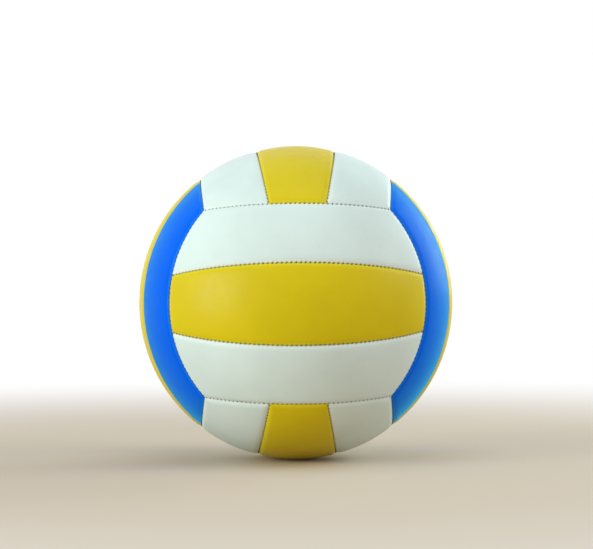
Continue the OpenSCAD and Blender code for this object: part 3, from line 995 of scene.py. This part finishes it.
class VOLLEYBALL_OT_valve(bpy.types.Operator):
    """Moulds the valve's housing and its plug"""

    bl_idname = "volleyball.valve"
    bl_label = "Valve"

    columns = 96
    housing_length = 24 * MM
    tip_height = 4 * MM
    socket_radius = 3.1 * MM
    flange_radius = 14 * MM
    flange_top = 100.5 * MM
    flange_thickness = 1.6 * MM
    flange_dip = 0.7 * MM
    rim_width = 0.7 * MM
    rim_foot = 0.8 * MM
    dish = 0.12 * MM
    plug_radius = 3.0 * MM
    plug_length = 17 * MM
    needle_radius = 1.25 * MM
    needle_depth = 6.8 * MM
    flare = 0.8 * MM
    ring_out = 0.5 * MM
    ring_height = 2.4 * MM
    play = 0.1 * MM
    # The plug's outline stays this far from the axis, so that no face shrinks to nothing
    axis_radius = 0.02 * MM
    # Roundings of the corners, from the sharpest to the softest
    dish_crease = 0.05 * MM
    crease = 0.1 * MM
    small_round = 0.2 * MM
    socket_round = 0.25 * MM
    edge_round = 0.3 * MM
    mouth_round = 0.35 * MM
    tip_round = 0.4 * MM
    flange_round = 0.5 * MM
    plug_round = 0.6 * MM
    neck_round = 1.0 * MM
    root_round = 1.2 * MM

    def housing_outline(self, face, valve):
        """Outline of the housing, counterclockwise from the inner end of its socket."""
        end = face - self.housing_length
        neck = valve.neck_radius
        tip = (self.socket_radius + neck) / 2
        ring_middle = face - self.play - self.plug_length / 2
        ring_half = self.ring_height / 2 + self.play
        ring_radius = self.socket_radius + self.ring_out
        edge_top = math.sqrt(self.flange_top**2 - self.flange_radius**2)
        return rounded(
            [
                (self.socket_radius, end, self.small_round),
                (tip, end, self.tip_round),
                (neck, end + self.tip_height, self.neck_round),
                (neck, self.flange_top - self.flange_thickness, self.root_round),
                (self.flange_radius, edge_top - self.flange_thickness, self.flange_round),
                (self.flange_radius, edge_top, self.edge_round),
                (neck, self.flange_top - self.flange_dip, self.small_round),
                (neck, face, self.mouth_round),
                (neck - self.rim_width, face, self.crease),
                (neck - self.rim_foot, face - self.dish, self.dish_crease),
                (self.socket_radius, face - self.dish, self.socket_round),
                (self.socket_radius, ring_middle + ring_half, self.crease),
                (ring_radius, ring_middle + ring_half, self.small_round),
                (ring_radius, ring_middle - ring_half, self.small_round),
                (self.socket_radius, ring_middle - ring_half, self.crease),
            ]
        )

    def plug_outline(self, face):
        """Outline of the plug, counterclockwise from the bottom of its needle hole."""
        top = face - self.play
        end = top - self.plug_length
        floor = top - self.needle_depth
        middle = (top + end) / 2
        half = self.ring_height / 2
        ring_radius = self.plug_radius + self.ring_out
        return rounded(
            [
                (self.axis_radius, floor, 0),
                (self.axis_radius, end, 0),
                (self.plug_radius, end, self.plug_round),
                (self.plug_radius, middle - half, self.crease),
                (ring_radius, middle - half, self.small_round),
                (ring_radius, middle + half, self.small_round),
                (self.plug_radius, middle + half, self.crease),
                (self.plug_radius, top, self.edge_round),
                (self.needle_radius + self.flare, top, self.edge_round),
                (self.needle_radius, top - self.flare, self.edge_round),
                (self.needle_radius, floor, self.small_round),
            ]
        )

    def execute(self, context):
        scene = context.scene
        valve = scene.volleyball_valve
        face = scene.volleyball_panels.ball_radius - valve.sink
        colours = scene.volleyball_colours
        rubber = rubber_material("Valve rubber", colours.rubber, cell=0.45 * MM, roughness=0.5)
        outlines = {
            "valve_housing": self.housing_outline(face, valve),
            "valve_core": self.plug_outline(face),
        }
        for node, outline in outlines.items():
            points, faces = lathe(outline, self.columns)
            points = turned(points, VALVE_FACE)
            make_piece(f"{node}_rubber", points, faces, rubber, [node])
        return {"FINISHED"}


class VOLLEYBALL_OT_inside(bpy.types.Operator):
    """Dresses the backings, the bladder and the patch, which the frame gives"""

    bl_idname = "volleyball.inside"
    bl_label = "Backings and bladder"

    def execute(self, context):
        colours = context.scene.volleyball_colours
        backing = cloth_material("Foam and cloth backing", colours.cloth, pitch=0.7 * MM)
        patch = cloth_material("Valve patch cloth", colours.cloth, pitch=0.45 * MM)
        rubber = rubber_material("Bladder rubber", colours.bladder, cell=1.4 * MM, roughness=0.42)
        finishes = {"backing": backing, "bladder": rubber, "patch": patch}
        for name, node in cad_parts.items():
            kind = name.rsplit("_", 1)[-1]
            if kind in finishes:
                node.data.materials.clear()
                node.data.materials.append(finishes[kind])
        return {"FINISHED"}


class VOLLEYBALL_OT_stage(bpy.types.Operator):
    """Lays the floor and sets up the light and the camera"""

    bl_idname = "volleyball.stage"
    bl_label = "Stage"

    # Size and place of each lamp, its power in watts and its colour
    lamps = {
        "left_softbox": (1.0, (-1.7, -1.0, 0.35), 22.8, (0.91, 1.0, 0.97)),
        "top_softbox": (1.6, (0.1, -0.45, 1.9), 6.0, (0.97, 1.0, 1.0)),
        "right_fill": (1.2, (1.9, -0.3, 1.0), 12.0, (0.98, 1.0, 1.0)),
        "right_rim": (1.0, (1.5, 1.4, 0.6), 15.0, (0.75, 1.0, 0.98)),
    }
    floor_radius = 6.0
    floor_corners = 96
    # Distances from the ball between which the floor that is seen fades into white
    fade_start = 0.25
    fade_end = 1.1

    def floor(self, context):
        """A pale floor that keeps the shadow, fades into white and is clear from below."""
        stage = context.scene.volleyball_stage
        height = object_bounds()[0][2]
        turn = np.linspace(0, 2 * math.pi, self.floor_corners, endpoint=False)
        ring = self.floor_radius * np.stack([np.cos(turn), np.sin(turn), 0 * turn], -1)
        points = ring + np.array((0, 0, height))
        nodes = Finish("Pale studio floor", Specular_IOR_Level=0.1, Roughness=0.8)
        mottle = nodes.shared("Mottle", mottle_group, Patch_size=0.6)
        shade = nodes.mix(mottle["Patches"], scaled(stage.floor, 0.995), stage.floor)
        seen = nodes.seen_directly()
        nodes.feed(nodes.shader, Base_Color=nodes.mix(seen, stage.bounce, shade))
        away = nodes.feed(nodes.add("VectorMath", operation="LENGTH"), nodes.place())
        fade = nodes.between(away.outputs["Value"], 0.0, 1.0, self.fade_start, self.fade_end)
        white = nodes.feed(nodes.add("Emission"), PURE_WHITE, 1.0).outputs[0]
        clear = nodes.add("BsdfTransparent").outputs[0]
        back = nodes.add("NewGeometry").outputs["Backfacing"]
        fade = nodes.math("MULTIPLY", fade, seen)
        above = nodes.mix_shaders(fade, nodes.shader.outputs[0], white)
        output = nodes.tree.nodes["Material Output"]
        nodes.feed(output, Surface=nodes.mix_shaders(back, above, clear))
        mesh = bpy.data.meshes.new("studio_floor")
        mesh.from_pydata(points.tolist(), [], [list(range(len(points)))])
        mesh.materials.append(nodes.material)
        floor = bpy.data.objects.new("studio_floor", mesh)
        context.scene.collection.objects.link(floor)
        floor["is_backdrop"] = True

    def light(self, context):
        """Soft boxes, and an even sky that looks white where it is seen."""
        for name, (size, place, power, tint) in self.lamps.items():
            lamp = bpy.data.lights.new(name, "AREA")
            lamp.shape = "SQUARE"
            lamp.size = size
            lamp.energy = power
            lamp.color = tint
            holder = bpy.data.objects.new(name, lamp)
            holder.location = place
            holder.rotation_euler = (-Vector(place)).to_track_quat("-Z", "Y").to_euler()
            context.scene.collection.objects.link(holder)
        world = bpy.data.worlds.new("Studio sky")
        world.use_nodes = True
        context.scene.world = world
        nodes = Nodes(world.node_tree)
        nodes.tree.nodes.clear()
        light, white = (
            nodes.feed(nodes.add("Background"), PURE_WHITE, strength).outputs[0]
            for strength in (context.scene.volleyball_stage.sky, 1.0)
        )
        sky = nodes.mix_shaders(nodes.seen_directly(), light, white)
        nodes.feed(nodes.add("OutputWorld"), Surface=sky)

    def camera(self, context):
        """A long lens that frames the ball as the photograph does."""
        stage = context.scene.volleyball_stage
        radius = context.scene.volleyball_panels.ball_radius
        focal = stage.outline * math.sqrt(stage.distance**2 - radius**2) / radius
        camera = bpy.data.cameras.new("camera")
        camera.lens = focal * camera.sensor_width / IMAGE_WIDTH
        camera.clip_start = 0.05
        holder = bpy.data.objects.new("camera", camera)
        context.scene.collection.objects.link(holder)
        flat = math.sqrt(stage.distance**2 - stage.height**2)
        place = Vector(
            (math.sin(stage.azimuth) * flat, -math.cos(stage.azimuth) * flat, stage.height)
        )
        look = -place.normalized()
        right = look.cross(Vector((0, 0, 1))).normalized()
        up = right.cross(look)
        # The camera aims a little beside the ball, so that the ball lies where the photo has it
        look = look + up * (BALL_ROW - IMAGE_HEIGHT / 2) / focal
        look = look - right * (BALL_COLUMN - IMAGE_WIDTH / 2) / focal
        turn = look.to_track_quat("-Z", "Y") @ Quaternion((0, 0, 1), stage.roll)
        holder.location = place
        holder.rotation_mode = "QUATERNION"
        holder.rotation_quaternion = turn
        context.scene.camera = holder

    def execute(self, context):
        context.scene.view_settings.view_transform = "Standard"
        self.floor(context)
        self.light(context)
        self.camera(context)
        return {"FINISHED"}


OPERATORS = (
    VOLLEYBALL_OT_panels,
    VOLLEYBALL_OT_stitches,
    VOLLEYBALL_OT_valve,
    VOLLEYBALL_OT_inside,
    VOLLEYBALL_OT_stage,
)


class VOLLEYBALL_PT_sidebar(bpy.types.Panel):
    """Lists the volleyball's operators and settings"""

    bl_idname = "VOLLEYBALL_PT_sidebar"
    bl_label = "Volleyball"
    bl_space_type = "VIEW_3D"
    bl_region_type = "UI"
    bl_category = "Volleyball"

    def draw(self, context):
        for operator in OPERATORS:
            self.layout.operator(operator.bl_idname)
        for name, kind in SETTINGS.items():
            box = self.layout.box()
            for setting in kind.__annotations__:
                box.prop(getattr(context.scene, name), setting)


def register():
    for kind in (*SETTINGS.values(), *OPERATORS, VOLLEYBALL_PT_sidebar):
        bpy.utils.register_class(kind)
    for name, kind in SETTINGS.items():
        setattr(bpy.types.Scene, name, bpy.props.PointerProperty(type=kind))


def unregister():
    for name in SETTINGS:
        delattr(bpy.types.Scene, name)
    for kind in reversed((*SETTINGS.values(), *OPERATORS, VOLLEYBALL_PT_sidebar)):
        bpy.utils.unregister_class(kind)


def main():
    register()
    bpy.ops.volleyball.panels()
    bpy.ops.volleyball.stitches()
    bpy.ops.volleyball.valve()
    bpy.ops.volleyball.inside()
    bpy.ops.volleyball.stage()


if __name__ == "__main__":
    main()
